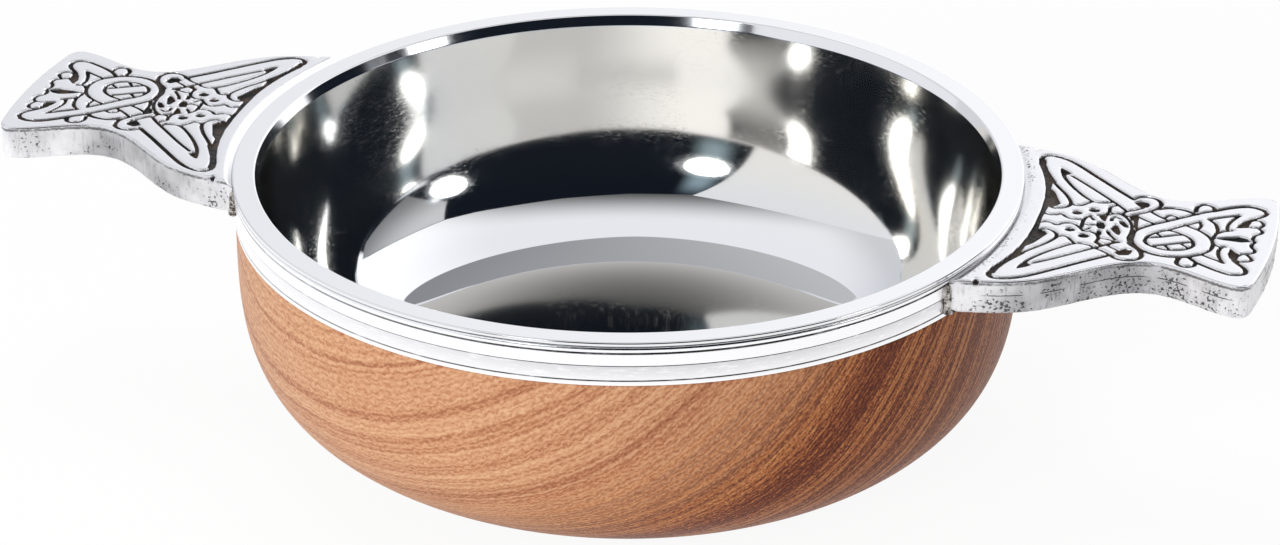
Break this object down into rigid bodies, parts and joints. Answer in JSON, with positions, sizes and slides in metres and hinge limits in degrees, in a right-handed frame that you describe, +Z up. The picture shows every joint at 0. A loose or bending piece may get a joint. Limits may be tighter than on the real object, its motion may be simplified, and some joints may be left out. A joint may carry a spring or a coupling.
{
  "type": "quaich",
  "caption": "Shallow two-lugged drinking bowl: turned hardwood outside, polished metal lining, reeded rim band and flat cast lugs with carved interlace.",
  "frame": {"origin": "on the table under the middle of the bowl, at the centre of its flat base", "axes": "+Z up out of the bowl, +X along the lugs towards the right lug"},
  "size_m": [0.1866, 0.114, 0.0424],
  "materials": {
    "turned_wood": "oiled satin hardwood with open grain",
    "polished_lining": "mirror-polished pewter",
    "polished_band": "bright polished pewter with scribed lines",
    "cast_lug": "cast pewter, polished on top with blackened recesses and rough sides",
    "solder": "dull pitted soft solder",
    "adhesive": "cured clear adhesive"
  },
  "bodies": {
    "root": {"wooden_bowl": "turned_wood", "liner": "polished_lining", "rim_band": "polished_band", "right_lug": "cast_lug", "left_lug": "cast_lug", "right_solder_seam": "solder", "left_solder_seam": "solder", "adhesive_bed": "adhesive"}
  },
  "joints": []
}
